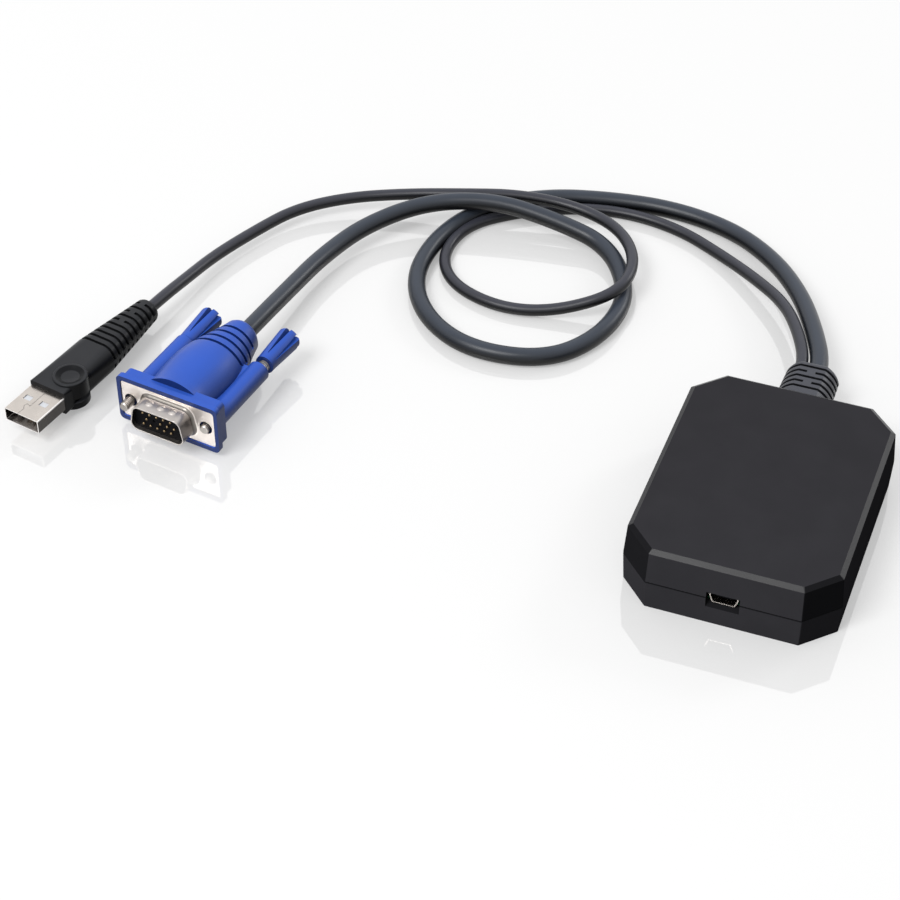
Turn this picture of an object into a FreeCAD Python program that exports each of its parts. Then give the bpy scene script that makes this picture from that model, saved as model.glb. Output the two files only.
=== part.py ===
# Keyboard, video and mouse adapter: a small octagonal box with a mini-USB port in front and two
# captive cables behind, one to a blue video plug with thumbscrews and one to a USB-A plug.
# Frame: origin at the centre of the box's underside, +Z up, +Y towards the cables, millimetres.
import FreeCAD, Part
import math
import os
from FreeCAD import Placement, Rotation, Vector

os.makedirs("parts", exist_ok=True)

# ---- clearances ----
touch_gap = 0.1         # between moulded parts that fit into each other
running_gap = 0.05      # radial, between a turning shank and its bore
free_gap = 0.3          # between parts that only pass each other

# ---- box ----
housing_width = 59.0
housing_length = 77.0
housing_height = 19.7
wall = 2.0
parting_z = 9.0
corner_cut = 8.6        # leg of each 45 degree corner, at the parting plane
corner_round = 0.6
bottom_draft = 0.4      # how far the underside is set in
top_draft = 0.7         # how far the top edge is set in
bevel_run = 1.3
bevel_rise = 0.93
seam_chamfer = 0.15
seam_gap = 0.2          # shadow gap between the two shells, in front of the lip
lip_thickness = 0.9
lip_height = 1.2

# ---- housing screws, from below ----
screw_inset_x = 8.0     # side of the box to the middle of each screw
screw_inset_y = 8.5
screw_radius = 1.25
screw_bite = 8.0        # length held by the top shell
head_radius = 2.2
head_height = 1.9
head_recess = 0.7       # underside of the box to the head
cross_width = 0.7
cross_length = 2.6
cross_depth = 1.0
post_wall = 1.7

# ---- circuit board and what it carries ----
board_under_z = 5.4
board_thickness = 1.6
board_side_gap = 0.8
chip_height = 1.4
chip_lead_width = 0.35
chip_lead_reach = 1.0
chip_lead_thickness = 0.2
capture_share = (-0.03, 0.0)    # places as shares of the width and length of the box
capture_half = 7.0
capture_pitch = 1.2
capture_leads = 10
memory_share = (0.29, 0.0)
memory_half = (3.8, 9.2)
memory_pitch = 1.4
memory_leads = 11
front_row = 18.5                # front of the box to the controller and the crystal
controller_x = -4.0
controller_half = 4.5
controller_pitch = 1.1
controller_leads = 7
crystal_x = 8.5
crystal_half = (5.4, 2.3)
crystal_height = 3.5
foot_height = 0.4
foot_margin = 0.1
capacitor_shares = [(-0.34, -0.21), (-0.34, -0.1), (-0.34, 0.16), (0.34, -0.235)]
capacitor_radius = 2.0
capacitor_height = 5.4

# ---- headers for the two cables ----
header_gap = 11.8       # flange of the boot to the front of the headers
header_depth = 5.0
header_height = 5.5
header_wall = 0.9
header_pitch = 1.5
header_margin = 0.6
plug_length = 6.0
video_header_x = 4.6
video_ways = 6
usb_header_x = -6.4
usb_ways = 4
lead_diameter = 0.8
lead_spacing = 0.85     # where the leads come out of the boot
lead_row_offset = 0.5
lead_stub = 0.8

# ---- mini-USB port ----
port_half_top = 3.85
port_half_bottom = 3.0
port_height = 3.95
port_shoulder = 1.775   # height of the upright part of the sides
port_wall = 0.3
port_depth = 9.2
port_recess = 1.2       # front of the box to the rim of the port
port_opening_width = 9.0
port_ramp = 1.5         # how far the opening drops towards the front
tongue_width = 4.6
tongue_thickness = 1.0
tongue_recess = 1.0
port_base = 3.0
port_contacts = 5
port_contact_pitch = 0.8
port_contact_width = 0.4
port_contact_thickness = 0.15

# ---- cables ----
video_diameter = 5.4
usb_diameter = 3.6
cord_insertion = 6.0    # how deep each cable sits in its moulding
cord_straight = 5.2     # where its first bend is centred, outside the moulding

# ---- cable boot ----
boot_z = 9.3
boot_half_width = 8.2
boot_half_height = 5.7
boot_flat_half = 3.5
boot_length = 18.4      # outside the box
boot_taper = 0.5
boot_end_round = 1.0
boot_flange_rim = 1.5
boot_flange_length = 2.0
boot_grooves = 5
boot_groove_pitch = 2.35
boot_groove_width = 0.95
boot_groove_depth = 0.9
boot_first_groove = 2.3   # end of the boot to the nearest groove
boot_bridge = 2.4
video_exit_x = 1.3
usb_exit_x = -3.7
cradle_thickness = 2.0
cradle_half_width = 9.0
cradle_reach = 4.2

# ---- video plug; its own frame has the flange front at the origin and +Y towards the cable ----
video_seat = (-165.3, -21.5, 9.6)
video_yaw = -8.2
face_width = 33.4
face_height = 15.8
face_round = 1.6
face_depth = 5.5
face_step = 0.7
face_step_depth = 1.5
face_back_round = 0.7
flange_width = 30.8
flange_height = 12.55
flange_thickness = 0.8
flange_round = 1.0
shell_width = 17.0      # at mid height
shell_height = 8.6
shell_slope = 10.0
shell_round = 2.5
shell_wall = 0.4
shell_reach = 6.0
shell_skirt = 4.0
shell_root_round = 1.3
dimple_radius = 1.3
dimple_height = 0.45
dimple_pitch = 3.8
pin_radius = 0.38
pin_pitch = 2.29
pin_row_pitch = 1.98
pin_recess = 0.9
pin_tail = 6.0
pin_count = 5
insulator_recess = 1.4
insulator_depth = 6.0
jack_spacing = 24.99
ear_radius = 3.2
ear_end = 28.0
web_thickness = 4.8
web_end = 26.0
hood_half_width = 10.9
hood_half_height = 9.6
hood_front = 3.3
hood_end = 39.4
hood_neck_half_width = 5.6
hood_neck_half_height = 5.9
hood_taper = [(0, 0), (0.3, 0.01), (0.48, 0.08), (0.6, 0.26), (0.75, 0.57), (0.9, 0.88), (0.975, 1.0)]
hood_end_share = 1.14   # pairs and end: share of the length, share of the way to the neck
hood_grooves = 4
hood_first_groove = 24.0
hood_groove_pitch = 3.3
hood_groove_width = 1.1
hood_groove_depth = 0.9
hood_bridge = 2.0

# ---- thumbscrews ----
thread_radius = 1.42
thread_length = 5.6
shank_radius = 1.75
collar_radius = 2.2
collar_length = 1.2
collar_gap = 0.3
collar_seat = 8.0       # front end of the room for the collar
collar_travel = 5.0
grip_length = 14.2
grip_base_radius = 2.9
grip_end_radius = 3.7
grip_collar = 1.2
grip_bore_depth = 9.0
flute_count = 6
flute_depth = 1.8       # at the end of the grip, where the flutes are deepest
flute_half_width = 0.95
flute_start = 2.2
screw_reach = {"left": 3.9, "right": 1.3}   # tip in front of the flange

# ---- USB-A plug; its own frame has the shell front at the origin and +Y towards the cable ----
usb_seat = (-204.35, -35.4, 6.65)
usb_yaw = -11.6
usb_shell_width = 12.0
usb_shell_height = 4.5
usb_shell_wall = 0.3
usb_shell_round = 0.5
usb_shell_length = 18.75
usb_shell_shown = 11.9
usb_window = (2.5, 1.95)
usb_window_y = 6.8
usb_window_spacing = 5.6
usb_seam = [(-1.1, -1), (-0.9, 2.4), (-1.7, 3.6), (-1.4, 4.6), (-0.1, 4.2)]
usb_seam_width = 0.12
usb_tongue_recess = 1.7
usb_tongue_height = 1.85
usb_contact_thickness = 0.2
usb_contact_width = 1.0
usb_contact_places = [(-3.5, 0.6), (-1.0, 1.6), (1.0, 1.6), (3.5, 0.6)]    # x, and set back from the tongue
usb_front_half = (6.1, 3.8)     # half width and half height at the front
usb_front_round = 0.6
usb_waist_half = (6.75, 4.75)   # the same where the ribs start
usb_waist_round = 4.2
usb_swell = 0.7                 # below 1: the sides bow out towards the ribs
usb_flat_length = 21.7
usb_body_length = 47.0
disc_x = 2.8
disc_y = 7.0            # from the front of the body
disc_radius = 5.05
disc_height = 9.2
disc_lips = {1: 5.4, -1: 2.3}    # how far the disc above and the disc below reach down and up
disc_rim = 0.9
disc_dish = 1.2
rib_grooves = 10
rib_end_radius = 3.7
rib_end_round = 0.9
rib_end_land = 2.3      # last groove to the end
rib_groove_width = 1.0
rib_groove_depth = 0.9
rib_bridge = 1.8
rib_side_bar = 1.1

# ---- worked out once ----
housing_front = -housing_length / 2
housing_back = housing_length / 2
screw_x = housing_width / 2 - screw_inset_x
screw_y = housing_length / 2 - screw_inset_y
board_top = board_under_z + board_thickness
roof_z = housing_height - wall
port_z = board_top + port_height / 2
port_front = housing_front + port_recess
boot_end = housing_back + boot_length
flange_back = housing_back - wall - top_draft
flange_front = flange_back - boot_flange_length
header_y = flange_front - header_gap
plug_back = header_y + header_wall + plug_length
hood_bore_floor = hood_end - cord_insertion
usb_tongue_under = usb_shell_height / 2 - usb_shell_wall - usb_tongue_height
usb_flat_end = usb_shell_shown + usb_flat_length
usb_body_end = usb_shell_shown + usb_body_length

# The cables lie on the table in one loop and come back over themselves side by side.
# Each list is what lies between the straight ends, which follow the bores.
video_route = [
    (-5.0, 79.5, 7.8), (-16.0, 98.5, 5.4), (-31.0, 116.0, 3.4),
    (-52.0, 127.5, 2.7), (-74.5, 129.0, 2.7), (-97.5, 123.5, 2.7), (-115.0, 110.5, 2.7),
    (-126.5, 92.5, 2.7), (-128.0, 71.5, 2.7), (-118.5, 52.5, 2.7), (-100.5, 41.7, 2.7),
    (-79.1, 43.2, 2.7), (-63.6, 57.7, 2.7), (-60.1, 78.6, 2.7), (-69.9, 97.9, 3.6),
    (-88.7, 107.3, 8.4), (-108.0, 106.0, 13.6), (-128.5, 101.5, 13.6), (-145.5, 87.0, 9.0),
    (-154.0, 67.5, 6.2), (-156.9, 46.5, 7.6),
]
usb_route = [
    (-9.5, 77.0, 8.2), (-19.5, 92.5, 6.0), (-34.0, 106.5, 3.4),
    (-51.5, 117.3, 1.8), (-71.0, 123.4, 1.8), (-91.0, 120.0, 1.8), (-107.8, 110.6, 1.8),
    (-118.3, 98.0, 1.8), (-120.6, 82.5, 1.8), (-111.6, 69.5, 1.8), (-96.5, 64.2, 1.8),
    (-80.5, 66.0, 4.6), (-67.0, 74.5, 10.4), (-61.7, 89.5, 11.0), (-66.5, 104.0, 9.6),
    (-78.5, 113.5, 8.4), (-94.5, 114.5, 9.4), (-111.5, 111.4, 11.2), (-129.0, 106.6, 11.0),
    (-147.5, 101.0, 6.4), (-165.0, 92.0, 4.4), (-177.5, 75.5, 4.4), (-185.5, 55.5, 5.6),
]


# ---- helpers ----
def box(x_span, y_span, z_span):
    size = [span[1] - span[0] for span in (x_span, y_span, z_span)]
    return Part.makeBox(*size, Vector(x_span[0], y_span[0], z_span[0]))


def rod(radius, start, finish):
    # a cylinder from one point to another
    axis = Vector(*finish) - Vector(*start)
    return Part.makeCylinder(radius, axis.Length, Vector(*start), axis)


def union(shapes):
    whole = shapes[0].multiFuse(shapes[1:]) if len(shapes) > 1 else shapes[0]
    return whole.removeSplitter()


def bend(before, corner, after, radius):
    # the arc that rounds one corner: its first, middle and last point
    inward = (corner - before).normalize()
    outward = (after - corner).normalize()
    half_turn = inward.getAngle(outward) / 2
    reach = radius * math.tan(half_turn)
    bisector = (outward - inward).normalize()
    middle = corner + bisector * (radius / math.cos(half_turn) - radius)
    return corner - inward * reach, middle, corner + outward * reach


def rounded_loop(points, radius):
    points = [Vector(*point) for point in points]
    if radius == 0:
        return Part.makePolygon(points + points[:1])
    count = len(points)
    arcs = [bend(points[i - 1], points[i], points[(i + 1) % count], radius) for i in range(count)]
    edges = []
    for i in range(count):
        edges.append(Part.Arc(*arcs[i]).toShape())
        edges.append(Part.LineSegment(arcs[i][2], arcs[(i + 1) % count][0]).toShape())
    return Part.Wire(edges)


def rectangle_at_y(half_width, half_height, radius, y, x=0.0, z=0.0):
    corners = [(-1, -1), (1, -1), (1, 1), (-1, 1)]
    points = [(x + side * half_width, y, z + rise * half_height) for side, rise in corners]
    return rounded_loop(points, radius)


def extrude_y(wire, length):
    return Part.Face(wire).extrude(Vector(0, length, 0))


def loft(wires, ruled=True):
    return Part.makeLoft(wires, True, ruled)


def tube(points, diameter, label):
    # straight runs joined by arcs as large as the shorter of the two runs allows
    points = [Vector(*point) for point in points]
    edges, radii = [], []
    start = points[0]
    for before, corner, after in zip(points, points[1:], points[2:]):
        turn = (corner - before).getAngle(after - corner)
        shorter = min((corner - before).Length, (after - corner).Length)
        radius = 0.45 * shorter / math.tan(turn / 2)
        first, middle, last = bend(before, corner, after, radius)
        edges.append(Part.LineSegment(start, first).toShape())
        edges.append(Part.Arc(first, middle, last).toShape())
        start = last
        radii.append(radius)
    edges.append(Part.LineSegment(start, points[-1]).toShape())
    path = Part.Wire(edges)
    section = Part.Wire(Part.makeCircle(diameter / 2, points[0], points[1] - points[0]))
    solid = path.makePipeShell([section], True, False)
    ideal = math.pi * diameter ** 2 / 4 * path.Length
    print("%s length %.1f, volume ratio %.5f" % (label, path.Length, solid.Volume / ideal))
    print("  radii", " ".join("%.1f" % radius for radius in radii))
    return solid


def placed(shape, seat, yaw):
    moved = shape.copy()
    moved.Placement = Placement(Vector(*seat), Rotation(Vector(0, 0, 1), yaw))
    return moved


def placed_point(point, seat, yaw):
    turned = Rotation(Vector(0, 0, 1), yaw).multVec(Vector(*point))
    return tuple(turned + Vector(*seat))


# ---- housing ----
def housing_plan(inset, z):
    half_x = housing_width / 2 - inset
    half_y = housing_length / 2 - inset
    leg = corner_cut - (2 - math.sqrt(2)) * inset
    quarter = [(half_x, half_y - leg), (half_x - leg, half_y)]
    points = [(x, y, z) for x, y in quarter]
    points += [(-x, y, z) for x, y in reversed(quarter)]
    points += [(-x, -y, z) for x, y in quarter]
    points += [(x, -y, z) for x, y in reversed(quarter)]
    return rounded_loop(points, corner_round)


def screw_places():
    return [(x, y) for y in (-screw_y, screw_y) for x in (-screw_x, screw_x)]


post_radius = screw_radius + post_wall
head_seat_z = head_recess + head_height
counterbore_radius = head_radius + free_gap + touch_gap
screw_tip_z = board_top + screw_bite


def port_opening():
    # level above the port, and a floor that drops towards the front below it
    half = port_opening_width / 2
    inner_y = housing_front + wall + free_gap
    top = board_top + port_height + touch_gap
    low = board_top - touch_gap
    side = [(housing_front - 1, top), (inner_y, top), (inner_y, low), (housing_front - 1, low - port_ramp)]
    return Part.Face(rounded_loop([(-half, y, z) for y, z in side], 0)).extrude(Vector(2 * half, 0, 0))


def boot_window():
    return extrude_y(boot_section(housing_back - 2 * wall, -touch_gap), 3 * wall)


def boot_cradle(z_span):
    y_back = flange_front - free_gap
    return box((-cradle_half_width, cradle_half_width), (y_back - cradle_thickness, y_back), z_span)


def bottom_shell():
    outer = loft([housing_plan(bottom_draft, 0), housing_plan(0, parting_z - seam_chamfer),
                  housing_plan(seam_chamfer, parting_z)])
    inner = loft([housing_plan(bottom_draft + wall, wall), housing_plan(wall, parting_z + 1)])
    lip_plans = [housing_plan(wall - lip_thickness, parting_z - 1), housing_plan(wall, parting_z - 1)]
    lip_outer, lip_inner = [Part.Face(plan).extrude(Vector(0, 0, lip_height + 1)) for plan in lip_plans]
    posts = [rod(post_radius + post_wall / 2, (x, y, 0), (x, y, board_under_z)) for x, y in screw_places()]
    posts = [post.common(outer) for post in posts]
    shell = union([outer.cut(inner), lip_outer.cut(lip_inner), boot_cradle((wall / 2, boot_z - cradle_reach))]
                  + posts)
    for x, y in screw_places():
        shell = shell.cut(rod(counterbore_radius, (x, y, -1), (x, y, head_seat_z)))
        shell = shell.cut(rod(screw_radius + 2 * touch_gap, (x, y, 0), (x, y, board_top)))
    return shell.cut(port_opening()).cut(boot_window())


def top_shell():
    bevel_z = housing_height - bevel_rise
    outer = loft([housing_plan(seam_chamfer, parting_z + seam_gap),
                  housing_plan(0, parting_z + seam_gap + seam_chamfer),
                  housing_plan(top_draft, bevel_z), housing_plan(top_draft + bevel_run, housing_height)])
    inner = loft([housing_plan(wall, parting_z - 1), housing_plan(wall + top_draft, roof_z)])
    rebate = Part.Face(housing_plan(wall - lip_thickness - touch_gap, parting_z - 1))
    rebate = rebate.extrude(Vector(0, 0, 1 + lip_height + touch_gap))
    posts = [rod(post_radius, (x, y, board_top), (x, y, roof_z + wall / 2)) for x, y in screw_places()]
    cradle = boot_cradle((boot_z + cradle_reach - touch_gap, roof_z + wall / 2))
    shell = union([outer.cut(inner).cut(rebate), cradle] + posts)
    for x, y in screw_places():
        shell = shell.cut(rod(screw_radius, (x, y, 0), (x, y, screw_tip_z + free_gap)))
    return shell.cut(port_opening()).cut(boot_window())


def housing_screw(x, y):
    head = rod(head_radius, (x, y, head_recess), (x, y, head_seat_z))
    rim = [edge for edge in head.Edges if abs(edge.BoundBox.ZMax - head_recess) < 0.01]
    head = head.makeFillet(head_height / 3, rim)
    bars = [box((x - a, x + a), (y - b, y + b), (0, head_recess + cross_depth))
            for a, b in ((cross_length / 2, cross_width / 2), (cross_width / 2, cross_length / 2))]
    shank = rod(screw_radius, (x, y, head_seat_z - cross_depth / 2), (x, y, screw_tip_z))
    return union([head, shank]).cut(union(bars))


# ---- circuit board ----
def circuit_board():
    inset = wall + board_side_gap
    plan = housing_plan(inset, board_under_z)
    board = Part.Face(plan).extrude(Vector(0, 0, board_thickness))
    notch_half = boot_half_width + boot_flange_rim + 2 * free_gap + board_side_gap
    notch_y = flange_front - cradle_thickness - 3 * free_gap
    board = board.cut(box((-notch_half, notch_half), (notch_y, housing_back), (0, housing_height)))
    for x, y in screw_places():
        board = board.cut(rod(screw_radius + free_gap, (x, y, 0), (x, y, housing_height)))
    return board


def leaded_chip(place, half, counts, pitch):
    # a flat package with bent leads: the first count on the sides that face +-Y, the second on the others
    (x, y), (half_x, half_y), (leads_x, leads_y) = place, half, counts
    body = box((x - half_x, x + half_x), (y - half_y, y + half_y),
               (board_top + chip_lead_thickness / 2, board_top + chip_height))
    thick, reach = chip_lead_thickness, chip_lead_reach
    shoulder = board_top + chip_height / 2
    side = [(-thick, shoulder), (reach / 2, shoulder), (reach / 2, board_top + thick),
            (reach, board_top + thick), (reach, board_top), (reach / 2 - thick, board_top),
            (reach / 2 - thick, shoulder - thick), (-thick, shoulder - thick)]
    lead = Part.Face(rounded_loop([(-chip_lead_width / 2, a, b) for a, b in side], 0))
    lead = lead.extrude(Vector(chip_lead_width, 0, 0))
    leads = []
    for turn, count, edge in ((0, leads_x, half_y), (90, leads_y, half_x),
                              (180, leads_x, half_y), (270, leads_y, half_x)):
        for i in range(count):
            copy = lead.copy()
            copy.translate(Vector((i - (count - 1) / 2) * pitch, edge, 0))
            copy.rotate(Vector(), Vector(0, 0, 1), turn)
            copy.translate(Vector(x, y, 0))
            leads.append(copy)
    return union([body] + leads)


def crystal(x, y):
    # a can with round ends on a slightly larger foot
    parts = []
    for margin, height in ((0, crystal_height), (foot_margin, foot_height)):
        half_x, half_y = [half + margin for half in crystal_half]
        parts.append(box((x - half_x + half_y, x + half_x - half_y), (y - half_y, y + half_y),
                         (board_top, board_top + height)))
        for end in (x - half_x + half_y, x + half_x - half_y):
            parts.append(rod(half_y, (end, y, board_top), (end, y, board_top + height)))
    return union(parts)


def capacitor(x, y):
    can = rod(capacitor_radius, (x, y, board_top), (x, y, board_top + capacitor_height))
    half = capacitor_radius + foot_margin
    foot = box((x - half, x + half), (y - half, y + half), (board_top, board_top + foot_height))
    return union([can, foot])


def on_board(share):
    return share[0] * housing_width, share[1] * housing_length


def header_half(ways):
    return ways * header_pitch / 2 + header_wall + header_margin


def cable_header(x, ways):
    # shrouded, open towards the boot
    half = header_half(ways)
    body = box((x - half, x + half), (header_y, header_y + header_depth),
               (board_top, board_top + header_height))
    inner = half - header_wall
    pocket = box((x - inner, x + inner), (header_y + header_wall, header_y + header_depth + 1),
                 (board_top + header_wall, board_top + header_height - header_wall))
    return body.cut(pocket)


def header_plug(x, ways):
    half = header_half(ways) - header_wall - touch_gap
    low = board_top + header_wall
    start = header_y + header_wall
    return box((x - half, x + half), (start, start + plug_length), (low, board_top + header_height
                                                                    - header_wall - touch_gap))


def header_leads(x, ways, exit_x):
    # from the inner face of the boot to the back of the plug, in two rows
    plug_z = board_top + header_height / 2
    leads = []
    for i in range(ways):
        across = i - (ways - 1) / 2
        rise = lead_row_offset if i % 2 else -lead_row_offset
        leave = Vector(exit_x + across * lead_spacing, flange_front, boot_z + rise)
        arrive = Vector(x + across * header_pitch, plug_back, plug_z + rise)
        stub = Vector(0, lead_stub, 0)
        path = Part.makePolygon([leave, leave - stub, arrive + stub, arrive])
        section = Part.Wire(Part.makeCircle(lead_diameter / 2, leave, stub))
        leads.append(path.makePipeShell([section], True, False, 1))
    return Part.makeCompound(leads)


# ---- mini-USB port ----
def port_section(y):
    shoulder = port_height / 2 - port_shoulder
    side = [(port_half_bottom, -port_height / 2), (port_half_top, shoulder), (port_half_top, port_height / 2)]
    points = [(x, y, port_z + z) for x, z in side] + [(-x, y, port_z + z) for x, z in reversed(side)]
    return rounded_loop(points, 0)


def port_shell():
    outer = extrude_y(port_section(port_front), port_depth)
    inner = port_section(port_front - 1).makeOffset2D(-port_wall, 2)
    return outer.cut(extrude_y(inner, port_depth + 2))


def port_tongue():
    base = port_section(port_front + port_depth - port_base).makeOffset2D(-port_wall, 2)
    base = extrude_y(base, port_base)
    front = port_front + tongue_recess
    tongue = box((-tongue_width / 2, tongue_width / 2), (front, port_front + port_depth - port_base / 2),
                 (port_z - tongue_thickness / 2, port_z + tongue_thickness / 2))
    body = union([base, tongue])
    return body.cut(Part.makeCompound([port_contact(i) for i in range(port_contacts)]))


def port_contact(i):
    # along the underside of the tongue, out at the back and down to the board
    x = (i - (port_contacts - 1) / 2) * port_contact_pitch
    top = port_z - tongue_thickness / 2
    low = top - port_contact_thickness
    back = port_front + port_depth + 0.6
    front = port_front + tongue_recess + 0.4
    side = [(front, low), (front, top), (back, top), (back, board_top + port_contact_thickness),
            (back + 1.0, board_top + port_contact_thickness), (back + 1.0, board_top),
            (back - port_contact_thickness, board_top), (back - port_contact_thickness, low)]
    face = Part.Face(rounded_loop([(x - port_contact_width / 2, y, z) for y, z in side], 0))
    return face.extrude(Vector(port_contact_width, 0, 0))


# ---- cable boot ----
def boot_section(y, inset):
    # flat above and below, with a full arc down each side
    half_width = boot_half_width - inset
    half_height = boot_half_height - inset
    bulge_x = boot_flat_half + 0.56 * (half_width - boot_flat_half)
    bulge_z = 0.67 * half_height
    edges = []
    corners = [(1, 1), (1, -1), (-1, -1), (-1, 1)]
    for side, rise in corners:
        flat = Vector(side * boot_flat_half, y, boot_z + rise * half_height)
        middle = Vector(side * bulge_x, y, boot_z + rise * bulge_z)
        tip = Vector(side * half_width, y, boot_z)
        ends = (flat, tip) if side * rise > 0 else (tip, flat)
        edges.append(Part.Arc(ends[0], middle, ends[1]).toShape())
        if side * rise < 0:
            across = Vector(-side * boot_flat_half, y, boot_z + rise * half_height)
            edges.append(Part.LineSegment(flat, across).toShape())
    return Part.Wire(edges)


def boot_form(inset):
    rounding = boot_end_round
    ends = [(housing_back, 0), (boot_end - rounding, boot_taper),
            (boot_end - 0.3 * rounding, boot_taper + 0.3 * rounding), (boot_end, boot_taper + rounding)]
    return loft([boot_section(y, inset + draft) for y, draft in ends])


def boot_bore(exit_x, diameter):
    return rod(diameter / 2, (exit_x, boot_end - cord_insertion, boot_z), (exit_x, boot_end + 1, boot_z))


def cable_boot():
    core = boot_form(boot_groove_depth)
    cuts = []
    for i in range(boot_grooves):
        y = boot_end - boot_first_groove - i * boot_groove_pitch
        slab = box((-20, 20), (y - boot_groove_width / 2, y + boot_groove_width / 2), (-20, 40))
        slab = slab.cut(core)
        if i % 2 == 1:
            slab = slab.cut(box((-boot_bridge / 2, boot_bridge / 2), (y - 1, y + 1), (-20, 40)))
        cuts.append(slab)
    throat = extrude_y(boot_section(flange_back, 0), housing_back - flange_back)
    flange = extrude_y(boot_section(flange_front, -boot_flange_rim), boot_flange_length)
    body = union([boot_form(0).cut(Part.makeCompound(cuts)), throat, flange])
    return body.cut(boot_bore(video_exit_x, video_diameter)).cut(boot_bore(usb_exit_x, usb_diameter))


# ---- video plug ----
def ellipse_at_y(y, half_width, half_height):
    major, minor = max(half_width, half_height), min(half_width, half_height)
    oval = Part.Ellipse(Vector(), major, minor)
    edge = oval.toShape()
    edge.rotate(Vector(), Vector(1, 0, 0), 90)
    if half_height > half_width:
        edge.rotate(Vector(), Vector(0, 1, 0), 90)
    edge.translate(Vector(0, y, 0))
    return Part.Wire(edge)


def hood_form(inset):
    wires = []
    for along, share in hood_taper + [(1.0, hood_end_share)]:
        half_width = hood_half_width + share * (hood_neck_half_width - hood_half_width)
        half_height = hood_half_height + share * (hood_neck_half_height - hood_half_height)
        y = hood_front + along * (hood_end - hood_front)
        wires.append(ellipse_at_y(y, half_width - inset, half_height - inset))
    smooth = loft(wires[:-1], False)
    return union([smooth, loft(wires[-2:])])


def hood_grooves_cut():
    core = hood_form(hood_groove_depth)
    cuts = []
    for i in range(hood_grooves):
        y = hood_first_groove + i * hood_groove_pitch
        reach = hood_half_width + 1
        slab = box((-reach, reach), (y, y + hood_groove_width), (-reach, reach)).cut(core)
        keep = hood_bridge / 2
        bridge = ((-reach, reach), (-keep, keep)) if i % 2 else ((-keep, keep), (-reach, 0))
        slab = slab.cut(box(bridge[0], (y - 1, y + 2), bridge[1]))
        cuts.append(slab)
    return Part.makeCompound(cuts)


def shell_profile(inset, y):
    # wide side down
    half_height = shell_height / 2 - inset
    slope = math.radians(shell_slope)
    middle = shell_width / 2 - inset / math.cos(slope)
    spread = half_height * math.tan(slope)
    points = [(-middle - spread, y, -half_height), (middle + spread, y, -half_height),
              (middle - spread, y, half_height), (-middle + spread, y, half_height)]
    return rounded_loop(points, shell_round - inset)


def ear_bore(side):
    x = side * jack_spacing / 2
    narrow = rod(shank_radius + running_gap, (x, -1, 0), (x, ear_end + 1, 0))
    room = rod(collar_radius + collar_gap, (x, collar_seat, 0), (x, collar_seat + collar_travel, 0))
    return union([narrow, room])


def video_hood():
    half_width, half_height = face_width / 2, face_height / 2
    lip = extrude_y(rectangle_at_y(half_width, half_height, face_round, -free_gap), face_step_depth + free_gap)
    insets = [(0, face_step), (face_depth - face_back_round, face_step),
              (face_depth, face_step + face_back_round)]
    block = loft([rectangle_at_y(half_width - inset, half_height - inset, face_round, y)
                  for y, inset in insets])
    body = hood_form(0)
    parts = [lip, block]
    for side in (-1, 1):
        x = side * jack_spacing / 2
        parts.append(rod(ear_radius, (x, face_depth / 2, 0), (x, ear_end, 0)))
        web = box((min(0, x), max(0, x)), (face_depth / 2, web_end), (-web_thickness / 2, web_thickness / 2))
        parts.append(web)
    recess = rectangle_at_y(flange_width / 2 + touch_gap, flange_height / 2 + touch_gap, flange_round, -1)
    pocket_depth = max(pin_tail + free_gap, shell_skirt) + flange_thickness
    pocket = extrude_y(shell_profile(-touch_gap, 0), pocket_depth)
    hood = union([body.cut(hood_grooves_cut())] + parts)
    hood = hood.cut(extrude_y(recess, 1 + flange_thickness)).cut(pocket)
    hood = hood.cut(ear_bore(-1)).cut(ear_bore(1))
    return hood.cut(rod(video_diameter / 2, (0, hood_bore_floor, 0), (0, hood_end + 1, 0)))


def video_shell():
    plate = extrude_y(rectangle_at_y(flange_width / 2, flange_height / 2, flange_round, 0), flange_thickness)
    skirt = extrude_y(shell_profile(0, -shell_reach), shell_reach + flange_thickness + shell_skirt)
    plate = union([plate, skirt])
    root = [edge for edge in plate.Edges if abs(edge.BoundBox.YMin) < 0.01 and abs(edge.BoundBox.YMax) < 0.01
            and max(abs(edge.BoundBox.XMin), abs(edge.BoundBox.XMax)) < shell_width / 2 + shell_height / 2]
    plate = plate.makeFillet(shell_root_round, root)
    for side in (-1, 1):
        x = side * jack_spacing / 2
        plate = plate.cut(rod(thread_radius + 2 * free_gap, (x, -1, 0), (x, 2, 0)))
    ball_radius = (dimple_radius ** 2 + dimple_height ** 2) / (2 * dimple_height)
    top = shell_height / 2 + dimple_height - ball_radius
    dimples = [Part.makeSphere(ball_radius, Vector(i * dimple_pitch, -shell_reach / 2, top))
               for i in (-1, 0, 1)]
    inside = extrude_y(shell_profile(shell_wall, -shell_reach - 1), shell_reach + shell_skirt + 3)
    return union([plate] + dimples).cut(inside)


def pin_places():
    # two full rows with a row between them that stands half a pitch over and lacks one pin
    places = []
    for row in (1, 0, -1):
        for i in range(pin_count):
            x = (i - (pin_count - 1) / 2) * pin_pitch
            if row == 0:
                x += pin_pitch / 2
            places.append((x - pin_pitch / 4, row * pin_row_pitch, row == 0 and i == 1))
    return places


def video_pins():
    start = -shell_reach + pin_recess
    pins = []
    for x, z, missing in pin_places():
        if missing:
            continue
        pin = rod(pin_radius, (x, start, z), (x, flange_thickness + pin_tail, z))
        tip = [edge for edge in pin.Edges if edge.BoundBox.YMax < start + 0.01]
        pins.append(pin.makeChamfer(pin_radius / 2, tip))
    return Part.makeCompound(pins)


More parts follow.
